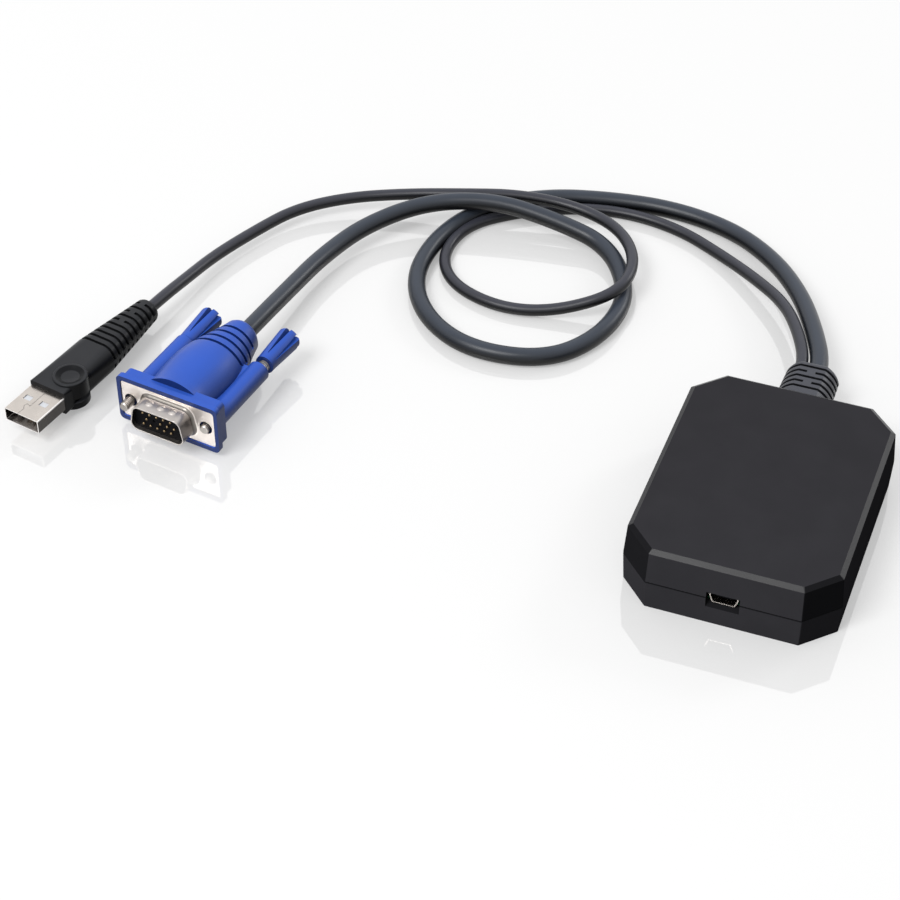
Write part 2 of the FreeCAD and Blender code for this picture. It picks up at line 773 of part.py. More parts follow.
def video_insulator():
    front = -shell_reach + insulator_recess
    length = flange_thickness + insulator_depth - free_gap - front - 2
    body = extrude_y(shell_profile(shell_wall, front), length)
    holes = [rod(pin_radius, (x, front - 1, z), (x, 20, z)) for x, z, missing in pin_places()]
    return body.cut(Part.makeCompound(holes))


def flute(x, start, finish, turn):
    # a V-shaped cut that starts at nothing and is deepest at the end of the grip
    sections = [(start, grip_base_radius, touch_gap), (finish + touch_gap, grip_end_radius, flute_depth)]
    wires = []
    for y, radius, depth in sections:
        bottom = radius - depth
        top = radius + 1
        half = flute_half_width / flute_depth * (top - bottom)
        wires.append(Part.makePolygon([Vector(bottom, y, 0), Vector(top, y, half), Vector(top, y, -half),
                                       Vector(bottom, y, 0)]))
    cut = loft(wires)
    cut.rotate(Vector(), Vector(0, 1, 0), turn)
    cut.translate(Vector(x, 0, 0))
    return cut


def thumbscrew_parts(side, reach):
    # how far the screw is drawn back follows from where its tip stands
    x = side * jack_spacing / 2
    drawn_back = screw_reach["left"] - reach
    grip_front = ear_end + free_gap + drawn_back
    grip_end = grip_front + grip_length
    bore_floor = grip_front + grip_bore_depth
    thread = rod(thread_radius, (x, -reach, 0), (x, thread_length - reach, 0))
    tip = [edge for edge in thread.Edges if edge.BoundBox.YMax < -reach + 0.01]
    thread = thread.makeChamfer(thread_radius / 4, tip)
    collar_front = collar_seat + free_gap + drawn_back
    shank = union([thread, rod(shank_radius, (x, thread_length - reach, 0), (x, bore_floor, 0)),
                   rod(collar_radius, (x, collar_front, 0), (x, collar_front + collar_length, 0))])
    base = rod(grip_base_radius, (x, grip_front, 0), (x, grip_front + grip_collar, 0))
    flare = Part.makeCone(grip_base_radius, grip_end_radius, grip_length - grip_collar,
                          Vector(x, grip_front + grip_collar, 0), Vector(0, 1, 0))
    grip = union([base, flare])
    rim = [edge for edge in grip.Edges if edge.BoundBox.YMin > grip_end - 0.01]
    grip = grip.makeFillet(grip_end_radius * 0.3, rim)
    for i in range(flute_count):
        grip = grip.cut(flute(x, grip_front + flute_start, grip_end, 360 / flute_count * (i + 0.5)))
    grip = grip.cut(rod(shank_radius, (x, grip_front - 1, 0), (x, bore_floor, 0)))
    return grip, shank


# ---- USB-A plug ----
def usb_seam_slot():
    # where the edges of the rolled sheet meet in the upper wall, with a dovetail near the front
    points = [Vector(x, y, 0) for x, y in usb_seam + [(0, usb_shell_length + 1)]]
    height = usb_shell_height / 2 - usb_shell_wall
    strips = []
    for start, finish in zip(points, points[1:]):
        along = (finish - start).normalize() * usb_seam_width / 2
        across = Vector(-along.y, along.x, 0)
        corners = [start - along + across, finish + along + across,
                   finish + along - across, start - along - across]
        strip = Part.Face(Part.makePolygon([corner + Vector(0, 0, height) for corner in corners + corners[:1]]))
        strips.append(strip.extrude(Vector(0, 0, usb_shell_height)))
    return union(strips)


def usb_shell():
    half_width, half_height = usb_shell_width / 2, usb_shell_height / 2
    outer = extrude_y(rectangle_at_y(half_width, half_height, usb_shell_round, 0), usb_shell_length)
    inner = rectangle_at_y(half_width - usb_shell_wall, half_height - usb_shell_wall,
                           usb_shell_round - usb_shell_wall, -1)
    shell = outer.cut(extrude_y(inner, usb_shell_length + 2))
    for side in (-1, 1):
        x = side * usb_window_spacing / 2
        half_x, half_y = usb_window[0] / 2, usb_window[1] / 2
        shell = shell.cut(box((x - half_x, x + half_x), (usb_window_y - half_y, usb_window_y + half_y),
                              (-usb_shell_height, usb_shell_height)))
    return shell.cut(usb_seam_slot())


def usb_tongue():
    # against the flat of the upper wall, where it shows through the windows
    half = usb_shell_width / 2 - usb_shell_round
    return box((-half, half), (usb_tongue_recess, usb_shell_length),
               (usb_tongue_under, usb_shell_height / 2 - usb_shell_wall))


def usb_contacts():
    strips = []
    for x, set_back in usb_contact_places:
        half = usb_contact_width / 2
        strips.append(box((x - half, x + half), (usb_tongue_recess + set_back, usb_shell_length),
                          (usb_tongue_under - usb_contact_thickness, usb_tongue_under)))
    return Part.makeCompound(strips)


def usb_wire(y, inset):
    # the flat body widens towards the ribs, and the ribs run from its section to a round one
    flat_share = (y - usb_shell_shown) / usb_flat_length
    if flat_share <= 1:
        share = max(flat_share, 0) ** usb_swell
        start, finish = (*usb_front_half, usb_front_round), (*usb_waist_half, usb_waist_round)
    else:
        share = (y - usb_flat_end) / (usb_body_end - usb_flat_end)
        start = (*usb_waist_half, usb_waist_round)
        finish = (rib_end_radius, rib_end_radius, rib_end_radius - touch_gap)
    half_width, half_height, rounding = [a + share * (b - a) - inset for a, b in zip(start, finish)]
    return rectangle_at_y(half_width, half_height, rounding, y)


def rib_form(inset):
    ends = [(usb_flat_end, 0), (usb_body_end - rib_end_round, 0),
            (usb_body_end - rib_end_round * 0.3, rib_end_round * 0.3), (usb_body_end, rib_end_round)]
    return loft([usb_wire(y, inset + step) for y, step in ends])


def rib_grooves_cut():
    # a bar at each side of every groove, and from half way on one above and below every other groove
    core = rib_form(rib_groove_depth)
    pitch = (usb_body_end - rib_end_land - usb_flat_end - rib_groove_width) / (rib_grooves - 1)
    reach = usb_body_length / 2
    cuts = []
    for i in range(rib_grooves):
        low = usb_flat_end + touch_gap + i * pitch
        high = low + rib_groove_width
        slab = box((-reach, reach), (low, high), (-reach, reach)).cut(core)
        bar, bridge = rib_side_bar / 2, rib_bridge / 2
        slab = slab.cut(box((-reach, reach), (low - 1, high + 1), (-bar, bar)))
        if i >= rib_grooves // 2 - 1 and i % 2:
            slab = slab.cut(box((-bridge, bridge), (low - 1, high + 1), (-reach, reach)))
        cuts.append(slab)
    return Part.makeCompound(cuts)


def finger_disc(side):
    # a short disc above or below, round at the rim, with a dish in it
    y = usb_shell_shown + disc_y
    half = disc_height / 2
    disc = Part.makeCylinder(disc_radius, disc_lips[side], Vector(disc_x, y, side * half), Vector(0, 0, -side))
    rims = [edge for edge in disc.Edges if edge.Closed and abs(edge.BoundBox.ZMin - side * half) < 0.01]
    disc = disc.makeFillet(disc_rim / 2, rims)
    dish_radius = disc_radius - disc_rim
    ball = (dish_radius ** 2 + disc_dish ** 2) / (2 * disc_dish)
    return disc, Part.makeSphere(ball, Vector(disc_x, y, side * (half - disc_dish + ball)))


def usb_body():
    stations = [usb_shell_shown + share * usb_flat_length for share in (0, 0.25, 0.5, 0.75, 1)]
    flat = loft([usb_wire(y, 0) for y in stations])
    discs, dishes = zip(*[finger_disc(side) for side in (-1, 1)])
    body = union([flat, rib_form(0).cut(rib_grooves_cut())] + list(discs)).cut(Part.makeCompound(list(dishes)))
    socket = rectangle_at_y(usb_shell_width / 2, usb_shell_height / 2, 0.5, usb_shell_shown - 1)
    body = body.cut(extrude_y(socket, usb_shell_length - usb_shell_shown + 1))
    return body.cut(rod(usb_diameter / 2, (0, usb_body_end - cord_insertion, 0), (0, usb_body_end + 1, 0)))


# ---- the nodes ----
nodes = {
    "bottom_shell": bottom_shell(),
    "top_shell": top_shell(),
    "circuit_board": circuit_board(),
    "capture_chip": leaded_chip(on_board(capture_share), (capture_half, capture_half),
                                (capture_leads, capture_leads), capture_pitch),
    "controller_chip": leaded_chip((controller_x, housing_front + front_row),
                                   (controller_half, controller_half),
                                   (controller_leads, controller_leads), controller_pitch),
    "memory_chip": leaded_chip(on_board(memory_share), memory_half, (0, memory_leads), memory_pitch),
    "crystal": crystal(crystal_x, housing_front + front_row),
    "capacitors": Part.makeCompound([capacitor(*on_board(share)) for share in capacitor_shares]),
    "video_header": cable_header(video_header_x, video_ways),
    "usb_header": cable_header(usb_header_x, usb_ways),
    "video_header_plug": header_plug(video_header_x, video_ways),
    "usb_header_plug": header_plug(usb_header_x, usb_ways),
    "video_leads": header_leads(video_header_x, video_ways, video_exit_x),
    "usb_leads": header_leads(usb_header_x, usb_ways, usb_exit_x),
    "port_shell": port_shell(),
    "port_tongue": port_tongue(),
    "port_contacts": Part.makeCompound([port_contact(i) for i in range(port_contacts)]),
    "cable_boot": cable_boot(),
}
for number, (x, y) in enumerate(screw_places(), 1):
    nodes["housing_screw_%d" % number] = housing_screw(x, y)

video_nodes = {"video_hood": video_hood(), "video_shell": video_shell(),
               "video_insulator": video_insulator(), "video_pins": video_pins()}
for name, side in (("left", -1), ("right", 1)):
    grip, shank = thumbscrew_parts(side, screw_reach[name])
    video_nodes[name + "_screw_grip"] = grip
    video_nodes[name + "_screw_shank"] = shank
for name, shape in video_nodes.items():
    nodes[name] = placed(shape, video_seat, video_yaw)

usb_nodes = {"usb_body": usb_body(), "usb_shell": usb_shell(),
             "usb_tongue": usb_tongue(), "usb_contacts": usb_contacts()}
for name, shape in usb_nodes.items():
    nodes[name] = placed(shape, usb_seat, usb_yaw)

reaches = (-cord_insertion, cord_straight)
video_boot_run = [(video_exit_x, boot_end + reach, boot_z) for reach in reaches]
usb_boot_run = [(usb_exit_x, boot_end + reach, boot_z) for reach in reaches]
video_plug_run = [placed_point((0, hood_end + reach, 0), video_seat, video_yaw) for reach in reaches[::-1]]
usb_plug_run = [placed_point((0, usb_body_end + reach, 0), usb_seat, usb_yaw) for reach in reaches[::-1]]
nodes["video_cable"] = tube(video_boot_run + video_route + video_plug_run, video_diameter, "video cable")
nodes["usb_cable"] = tube(usb_boot_run + usb_route + usb_plug_run, usb_diameter, "usb cable")

for name, shape in nodes.items():
    if not shape.isValid() or min(solid.Volume for solid in shape.Solids) <= 0:
        raise ValueError("bad solid in " + name)
    shape.exportStep("parts/" + name + ".step")
    print("%-20s %2d solid %10.2f mm3" % (name, len(shape.Solids), shape.Volume))
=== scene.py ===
import bpy
import bmesh
import math
from mathutils import Euler, Matrix, Vector


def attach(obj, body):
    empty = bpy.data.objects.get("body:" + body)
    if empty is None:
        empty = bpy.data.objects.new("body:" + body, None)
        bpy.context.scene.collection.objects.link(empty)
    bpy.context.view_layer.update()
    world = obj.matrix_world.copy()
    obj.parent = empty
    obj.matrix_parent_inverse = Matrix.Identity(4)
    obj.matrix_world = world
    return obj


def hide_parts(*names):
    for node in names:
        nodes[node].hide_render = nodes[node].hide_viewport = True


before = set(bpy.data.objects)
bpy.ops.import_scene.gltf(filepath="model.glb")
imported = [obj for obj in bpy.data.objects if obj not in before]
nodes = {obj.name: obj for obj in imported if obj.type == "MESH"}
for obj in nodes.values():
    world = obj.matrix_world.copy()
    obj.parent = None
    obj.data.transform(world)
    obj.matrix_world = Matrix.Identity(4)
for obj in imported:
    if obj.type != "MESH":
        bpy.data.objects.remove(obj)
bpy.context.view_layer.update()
mm = 0.001
print("frame loaded,", len(nodes), "nodes")


# camera: angles in degrees, lens in millimetres, the rest in metres

cameraView = {
    "azimuth": 20.576, "elevation": 42.044, "roll": -0.252, "distance": 0.68426,
    "target": (-0.089745, 0.001482, 0.0), "lens": 97.44, "clipStart": 0.01,
}


def aimCamera(view):
    azimuth = math.radians(view["azimuth"])
    elevation = math.radians(view["elevation"])
    flat = math.cos(elevation)
    back = Vector((flat * math.sin(azimuth), -flat * math.cos(azimuth), math.sin(elevation)))
    camera = bpy.data.cameras.new("camera")
    camera.lens = view["lens"]
    camera.clip_start = view["clipStart"]
    holder = bpy.data.objects.new("camera", camera)
    bpy.context.scene.collection.objects.link(holder)
    roll = Euler((0, 0, math.radians(view["roll"]))).to_quaternion()
    turn = back.to_track_quat("Z", "Y") @ roll
    place = Vector(view["target"]) + back * view["distance"]
    holder.matrix_world = Matrix.Translation(place) @ turn.to_matrix().to_4x4()
    bpy.context.scene.camera = holder


aimCamera(cameraView)


# small helpers for node trees

def feed(tree, value, socket):
    # a number is set on the socket, and an output is linked to it
    if isinstance(value, (int, float)):
        socket.default_value = value
    else:
        tree.links.new(value, socket)


def calculate(tree, operation, first, second):
    step = tree.nodes.new("ShaderNodeMath")
    step.operation = operation
    feed(tree, first, step.inputs[0])
    feed(tree, second, step.inputs[1])
    return step.outputs[0]


# light and floor

studio = {
    "worldLight": 0.68, "worldSeen": 1.0, "floorSize": 6.0, "floorColor": (0.52, 0.52, 0.52),
    "floorLift": 0.325, "floorRoughness": 0.035, "floorShine": 1.0, "floorIor": 1.62,
}
lamps = {
    "keyLamp": {"place": (-0.66, -1.15, 1.66), "aim": (-0.09, 0.03, 0.0), "size": 0.9, "power": 27.0},
    "edgeLamp": {"place": (1.10, 1.56, 1.00), "aim": (-0.09, 0.03, 0.0), "size": 0.5, "power": 7.0},
}


def addLamp(name, given):
    lamp = bpy.data.lights.new(name, "AREA")
    lamp.shape = "RECTANGLE"
    lamp.size = given["size"]
    lamp.size_y = given["size"]
    lamp.energy = given["power"]
    holder = bpy.data.objects.new(name, lamp)
    bpy.context.scene.collection.objects.link(holder)
    holder.location = given["place"]
    back = Vector(given["place"]) - Vector(given["aim"])
    holder.rotation_euler = back.to_track_quat("Z", "Y").to_euler()


def seenDirectly(tree):
    # 1 for camera, glossy and transmission rays, and 0 for the light that reaches the object
    path = tree.nodes.new("ShaderNodeLightPath").outputs
    straight = calculate(tree, "MAXIMUM", path["Is Camera Ray"], path["Is Transmission Ray"])
    return calculate(tree, "MAXIMUM", straight, path["Is Glossy Ray"])


def lightWorld():
    world = bpy.data.worlds.new("studio")
    world.use_nodes = True
    tree = world.node_tree
    background = tree.nodes["Background"]
    background.inputs["Color"].default_value = (1, 1, 1, 1)
    strength = tree.nodes.new("ShaderNodeMapRange")
    strength.inputs["To Min"].default_value = studio["worldLight"]
    strength.inputs["To Max"].default_value = studio["worldSeen"]
    tree.links.new(seenDirectly(tree), strength.inputs["Value"])
    tree.links.new(strength.outputs["Result"], background.inputs["Strength"])
    bpy.context.scene.world = world


def layFloor():
    mesh = bpy.data.meshes.new("floor")
    shape = bmesh.new()
    bmesh.ops.create_grid(shape, x_segments=1, y_segments=1, size=studio["floorSize"] / 2)
    shape.to_mesh(mesh)
    shape.free()
    floor = bpy.data.objects.new("floor", mesh)
    bpy.context.scene.collection.objects.link(floor)
    material = bpy.data.materials.new("paleFloor")
    material.use_nodes = True
    tree = material.node_tree
    skin = tree.nodes["Principled BSDF"]
    skin.inputs["Base Color"].default_value = (*studio["floorColor"], 1)
    skin.inputs["Roughness"].default_value = studio["floorRoughness"]
    skin.inputs["Specular IOR Level"].default_value = studio["floorShine"]
    skin.inputs["IOR"].default_value = studio["floorIor"]
    skin.inputs["Emission Color"].default_value = (1, 1, 1, 1)
    lift = calculate(tree, "MULTIPLY", seenDirectly(tree), studio["floorLift"])
    tree.links.new(lift, skin.inputs["Emission Strength"])
    mesh.materials.append(material)


bpy.context.scene.view_settings.view_transform = "Standard"
lightWorld()
for name, given in lamps.items():
    addLamp(name, given)
layFloor()
print("camera, light and floor set")


# shared shader effects

housingRight = (0.94, -0.34, 0.0)       # towards the right side of the box
plugAcross = (0.985, -0.17, 0.0)        # across both plugs
plugAlong = (0.14263, 0.98978, 0.0)     # from the mouth of each plug to its cable


def newGroup(name, inputs):
    # every effect puts out a colour, a roughness and a normal
    group = bpy.data.node_groups.new(name, "ShaderNodeTree")
    for socketName, value in inputs.items():
        kind = "NodeSocketColor" if socketName == "Color" else "NodeSocketFloat"
        socket = group.interface.new_socket(socketName, in_out="INPUT", socket_type=kind)
        socket.default_value = value
    for socketName, kind in (("Color", "Color"), ("Roughness", "Float"), ("Normal", "Vector")):
        group.interface.new_socket(socketName, in_out="OUTPUT", socket_type="NodeSocket" + kind)
    given = group.nodes.new("NodeGroupInput").outputs
    made = group.nodes.new("NodeGroupOutput").inputs
    return group, given, made


def objectPlace(tree):
    return tree.nodes.new("ShaderNodeTexCoord").outputs["Object"]


def addNoise(tree, place, scale, detail):
    noise = tree.nodes.new("ShaderNodeTexNoise")
    noise.inputs["Detail"].default_value = detail
    tree.links.new(place, noise.inputs["Vector"])
    feed(tree, scale, noise.inputs["Scale"])
    return noise.outputs["Fac"]


noiseSpan = (0.3, 0.7)   # nearly all of the noise lies between these


def spread(tree, value, low, high, span=noiseSpan):
    # brings a value from the span to the range between low and high
    wider = tree.nodes.new("ShaderNodeMapRange")
    wider.inputs["From Min"].default_value, wider.inputs["From Max"].default_value = span
    tree.links.new(value, wider.inputs["Value"])
    feed(tree, low, wider.inputs["To Min"])
    feed(tree, high, wider.inputs["To Max"])
    return wider.outputs["Result"]


def alongDirection(tree, vector, direction):
    along = tree.nodes.new("ShaderNodeVectorMath")
    along.operation = "DOT_PRODUCT"
    along.inputs[1].default_value = direction
    tree.links.new(vector, along.inputs[0])
    return along.outputs["Value"]


def dressGroup(tree, given, made, shade, patches, height, depth, strength):
    # the shade dims the colour, the patches drive the gloss, and the height drives the bump
    tint = tree.nodes.new("ShaderNodeVectorMath")
    tint.operation = "SCALE"
    tree.links.new(given["Color"], tint.inputs[0])
    tree.links.new(shade, tint.inputs["Scale"])
    tree.links.new(tint.outputs["Vector"], made["Color"])
    tree.links.new(spread(tree, patches, given["Gloss Low"], given["Gloss High"]), made["Roughness"])
    bump = tree.nodes.new("ShaderNodeBump")
    bump.inputs["Distance"].default_value = depth
    feed(tree, strength, bump.inputs["Strength"])
    tree.links.new(height, bump.inputs["Height"])
    tree.links.new(bump.outputs["Normal"], made["Normal"])


# painted shade: a face is bright when it is turned by less than the first value, and darkest past the
# second: from 0 for a face along the side to 1 for one that faces it, and from -1 for a level top to 0 for
# an upright face
paintedSideSpan = (0.45, 0.95)
paintedUnderSpan = (-0.98, -0.02)
mouldLooks = {"driftScale": 90.0, "driftDetail": 3.0, "grainDetail": 2.0, "grainDepth": 0.00005}
sheetLooks = {"stretch": (1.0, 0.08, 1.0), "lineScale": 2600.0, "lineDetail": 3.0, "lineDepth": 0.00003,
              "patchScale": 220.0, "patchDetail": 4.0, "patchDark": 0.93, "patchBright": 1.04}
threadLooks = {"crest": 0.5, "depth": 0.0003, "strength": 0.5}


def buildMouldedSkin():
    # fine spark texture of a mould, with slow drift in shade and gloss, and painted shade on faces turned to
    # the right or away from the top
    tree, given, made = newGroup("mouldedSkin", {
        "Color": (0.5, 0.5, 0.5, 1), "Painted Side Shade": 1.0, "Painted Under Shade": 1.0, "Drift": 0.06,
        "Grain Scale": 3500.0, "Grain Height": 0.2, "Gloss Low": 0.4, "Gloss High": 0.5})
    place = objectPlace(tree)
    geometry = tree.nodes.new("ShaderNodeNewGeometry").outputs
    slow = addNoise(tree, place, mouldLooks["driftScale"], mouldLooks["driftDetail"])
    fine = addNoise(tree, place, given["Grain Scale"], mouldLooks["grainDetail"])
    dark = calculate(tree, "SUBTRACT", 1.0, given["Drift"])
    bright = calculate(tree, "ADD", 1.0, given["Drift"])
    # painted shade on faces turned to the right of the box, and, squared, on faces turned away from the top
    toSide = alongDirection(tree, geometry["True Normal"], housingRight)
    side = spread(tree, toSide, 1.0, given["Painted Side Shade"], paintedSideSpan)
    toGround = alongDirection(tree, geometry["Normal"], (0, 0, -1))
    under = spread(tree, toGround, 1.0, given["Painted Under Shade"], paintedUnderSpan)
    shade = calculate(tree, "MULTIPLY", spread(tree, slow, dark, bright), side)
    shade = calculate(tree, "MULTIPLY", shade, calculate(tree, "MULTIPLY", under, under))
    dressGroup(tree, given, made, shade, slow, fine, mouldLooks["grainDepth"], given["Grain Height"])
    return tree


def buildRolledMetal():
    # faint drawing lines and dull patches on plated sheet, with painted shade on the faces turned to either
    # side
    tree, given, made = newGroup("rolledMetal", {
        "Color": (0.6, 0.6, 0.6, 1), "Painted Side Shade": 0.3, "Line Height": 0.08,
        "Gloss Low": 0.2, "Gloss High": 0.32})
    place = objectPlace(tree)
    stretch = tree.nodes.new("ShaderNodeMapping")
    stretch.inputs["Scale"].default_value = sheetLooks["stretch"]
    tree.links.new(place, stretch.inputs["Vector"])
    lines = addNoise(tree, stretch.outputs["Vector"], sheetLooks["lineScale"], sheetLooks["lineDetail"])
    patches = addNoise(tree, place, sheetLooks["patchScale"], sheetLooks["patchDetail"])
    normal = tree.nodes.new("ShaderNodeNewGeometry").outputs["True Normal"]
    # painted shade on the faces turned to either side of the plugs
    toSide = tree.nodes.new("ShaderNodeMath")
    toSide.operation = "ABSOLUTE"
    tree.links.new(alongDirection(tree, normal, plugAcross), toSide.inputs[0])
    side = spread(tree, toSide.outputs[0], 1.0, given["Painted Side Shade"], paintedSideSpan)
    patchy = spread(tree, patches, sheetLooks["patchDark"], sheetLooks["patchBright"])
    shade = calculate(tree, "MULTIPLY", patchy, side)
    dressGroup(tree, given, made, shade, patches, lines, sheetLooks["lineDepth"], given["Line Height"])
    return tree


def buildThreadedMetal():
    # plated steel cut with a fine thread, each groove darkened with painted shade and the crest between two
    # grooves bright
    tree, given, made = newGroup("threadedMetal", {
        "Color": (0.6, 0.6, 0.6, 1), "Turns Per Metre": 1575.0, "Painted Groove Shade": 0.3,
        "Gloss Low": 0.2, "Gloss High": 0.32})
    place = objectPlace(tree)
    turns = calculate(tree, "MULTIPLY", alongDirection(tree, place, plugAlong), given["Turns Per Metre"])
    crest = calculate(tree, "PINGPONG", turns, threadLooks["crest"])
    # painted shade in each groove of the thread
    shade = spread(tree, crest, given["Painted Groove Shade"], 1.0, (0.0, threadLooks["crest"]))
    patches = addNoise(tree, place, sheetLooks["patchScale"], sheetLooks["patchDetail"])
    dressGroup(tree, given, made, shade, patches, crest, threadLooks["depth"], threadLooks["strength"])
    return tree


mouldedSkin = buildMouldedSkin()
rolledMetal = buildRolledMetal()
threadedMetal = buildThreadedMetal()

# the side and under shade values are painted shade: below 1 they darken the colour of faces turned to the
# side or away from the top
finishes = {
    "shellBevel": {"group": mouldedSkin, "shine": 0.2, "Color": (0.027, 0.027, 0.029), "Gloss Low": 0.30,
                   "Gloss High": 0.36, "Grain Scale": 3200.0, "Grain Height": 0.2, "Drift": 0.03},
    "shellPlastic": {"group": mouldedSkin, "shine": 0.0, "Color": (0.0330, 0.0324, 0.0365),
                     "Painted Side Shade": 0.3, "Gloss Low": 0.36, "Gloss High": 0.44, "Grain Scale": 3200.0,
                     "Grain Height": 0.35, "Drift": 0.05},
    "shellShadow": {"group": mouldedSkin, "shine": 0.0, "Color": (0.0125, 0.0125, 0.0140),
                    "Painted Side Shade": 0.4, "Gloss Low": 0.4, "Gloss High": 0.5, "Grain Scale": 3200.0,
                    "Grain Height": 0.3, "Drift": 0.05},
    "bootRubber": {"group": mouldedSkin, "shine": 0.35, "Color": (0.056, 0.059, 0.073),
                   "Painted Under Shade": 0.35, "Gloss Low": 0.38, "Gloss High": 0.46, "Grain Scale": 2500.0,
                   "Grain Height": 0.15, "Drift": 0.05},
    # the jackets are painted light on top and dark on the sides and below
    "thickJacket": {"group": mouldedSkin, "shine": 0.33, "Color": (0.0400, 0.0490, 0.0670),
                    "Painted Under Shade": 0.12, "Gloss Low": 0.31, "Gloss High": 0.38, "Grain Scale": 1500.0,
                    "Grain Height": 0.1, "Drift": 0.06},
    "thinJacket": {"group": mouldedSkin, "shine": 0.33, "Color": (0.0430, 0.0450, 0.0590),
                   "Painted Under Shade": 0.12, "Gloss Low": 0.31, "Gloss High": 0.38, "Grain Scale": 1500.0,
                   "Grain Height": 0.1, "Drift": 0.06},
    "hoodBlue": {"group": mouldedSkin, "shine": 0.28, "Color": (0.027, 0.096, 0.500),
                 "Painted Side Shade": 0.55, "Painted Under Shade": 0.55, "Gloss Low": 0.36, "Gloss High": 0.46,
                 "Grain Scale": 2600.0, "Grain Height": 0.2, "Drift": 0.04},
    "plugBlack": {"group": mouldedSkin, "shine": 0.07, "Color": (0.0350, 0.0360, 0.0395),
                  "Painted Side Shade": 0.3, "Painted Under Shade": 0.5, "Gloss Low": 0.26, "Gloss High": 0.34,
                  "Grain Scale": 3000.0, "Grain Height": 0.12, "Drift": 0.05},
    "plugShadow": {"group": mouldedSkin, "shine": 0.10, "Color": (0.0085, 0.0090, 0.0105),
                   "Painted Side Shade": 0.5, "Gloss Low": 0.26, "Gloss High": 0.34, "Grain Scale": 3000.0,
                   "Grain Height": 0.12, "Drift": 0.05},
    "insulatorBlack": {"group": mouldedSkin, "shine": 0.04, "Color": (0.002, 0.002, 0.003),
                       "Gloss Low": 0.4, "Gloss High": 0.55, "Grain Scale": 3000.0,
                       "Grain Height": 0.1, "Drift": 0.05},
    "insulatorWhite": {"group": mouldedSkin, "Color": (0.62, 0.64, 0.68), "Gloss Low": 0.4,
                       "Gloss High": 0.5, "Grain Scale": 3000.0, "Grain Height": 0.1, "Drift": 0.03},
    "nickel": {"group": rolledMetal, "metal": 1.0, "Color": (0.67, 0.62, 0.575), "Gloss Low": 0.22,
               "Gloss High": 0.30, "Line Height": 0.06, "Painted Side Shade": 0.09},
    # the flange is duller than the shell and painted lighter
    "flangePaintedLight": {"group": rolledMetal, "metal": 1.0, "Color": (0.93, 0.865, 0.815), "Gloss Low": 0.40,
                     "Gloss High": 0.48, "Line Height": 0.03, "Painted Side Shade": 0.5},
    # painted shadow in the bend at the root of the shell
    "paintedRootShadow": {"group": rolledMetal, "metal": 1.0, "Color": (0.25, 0.23, 0.21), "Gloss Low": 0.30,
                   "Gloss High": 0.38, "Line Height": 0.03, "Painted Side Shade": 0.5},
    "screwNickel": {"group": rolledMetal, "metal": 1.0, "Color": (0.47, 0.44, 0.41), "Gloss Low": 0.22,
                    "Gloss High": 0.30, "Line Height": 0.06, "Painted Side Shade": 0.3},
    "threadNickel": {"group": threadedMetal, "metal": 1.0, "Color": (0.66, 0.62, 0.58), "Gloss Low": 0.24,
                     "Gloss High": 0.32, "Painted Groove Shade": 0.25},
    "shellNickel": {"group": rolledMetal, "metal": 1.0, "Color": (0.60, 0.56, 0.53), "Gloss Low": 0.27,
                    "Gloss High": 0.34, "Line Height": 0.04, "Painted Side Shade": 0.28},
    # painted highlight on the bends and the cut front edge of the USB sleeve
    "paintedEdgeHighlight": {"group": rolledMetal, "metal": 1.0, "Color": (0.93, 0.90, 0.88), "Gloss Low": 0.40,
                   "Gloss High": 0.46, "Line Height": 0.03, "Painted Side Shade": 0.8},
    "portNickel": {"group": rolledMetal, "metal": 1.0, "Color": (0.40, 0.37, 0.34), "Gloss Low": 0.22,
                   "Gloss High": 0.30, "Line Height": 0.04, "Painted Side Shade": 0.3},
    # gold darkened nearly to brown as painted shade on pins and contacts deep inside the plugs and the port
    "gold": {"group": rolledMetal, "metal": 1.0, "Color": (0.22, 0.16, 0.09), "Gloss Low": 0.2,
             "Gloss High": 0.3, "Line Height": 0.04, "Painted Side Shade": 0.5},
    "boardGreen": {"group": mouldedSkin, "Color": (0.015, 0.10, 0.045), "Gloss Low": 0.3,
                   "Gloss High": 0.4, "Grain Scale": 900.0, "Grain Height": 0.1, "Drift": 0.08},
    "chipEpoxy": {"group": mouldedSkin, "Color": (0.015, 0.015, 0.016), "Gloss Low": 0.5,
                  "Gloss High": 0.6, "Grain Scale": 4000.0, "Grain Height": 0.3, "Drift": 0.05},
    "canMetal": {"group": rolledMetal, "metal": 1.0, "Color": (0.75, 0.75, 0.76), "Gloss Low": 0.25,
                 "Gloss High": 0.35, "Line Height": 0.1, "Painted Side Shade": 0.8},
    "nylon": {"group": mouldedSkin, "Color": (0.72, 0.69, 0.60), "Gloss Low": 0.4, "Gloss High": 0.5,
              "Grain Scale": 3000.0, "Grain Height": 0.1, "Drift": 0.04},
    "leadRed": {"group": mouldedSkin, "Color": (0.32, 0.03, 0.025), "Gloss Low": 0.35,
                "Gloss High": 0.45, "Grain Scale": 3000.0, "Grain Height": 0.1, "Drift": 0.05},
}


def makeFinish(name, values):
    # what a finish leaves out keeps the default of its group
    material = bpy.data.materials.new(name)
    material.use_nodes = True
    tree = material.node_tree
    skin = tree.nodes["Principled BSDF"]
    skin.inputs["Metallic"].default_value = values.get("metal", 0.0)
    skin.inputs["Specular IOR Level"].default_value = values.get("shine", 0.5)
    effect = tree.nodes.new("ShaderNodeGroup")
    effect.node_tree = values["group"]
    for socket in effect.inputs:
        if socket.name == "Color":
            socket.default_value = (*values["Color"], 1)
        elif socket.name in values:
            socket.default_value = values[socket.name]
    tree.links.new(effect.outputs["Color"], skin.inputs["Base Color"])
    tree.links.new(effect.outputs["Roughness"], skin.inputs["Roughness"])
    tree.links.new(effect.outputs["Normal"], skin.inputs["Normal"])
    return material


materials = {name: makeFinish(name, values) for name, values in finishes.items()}

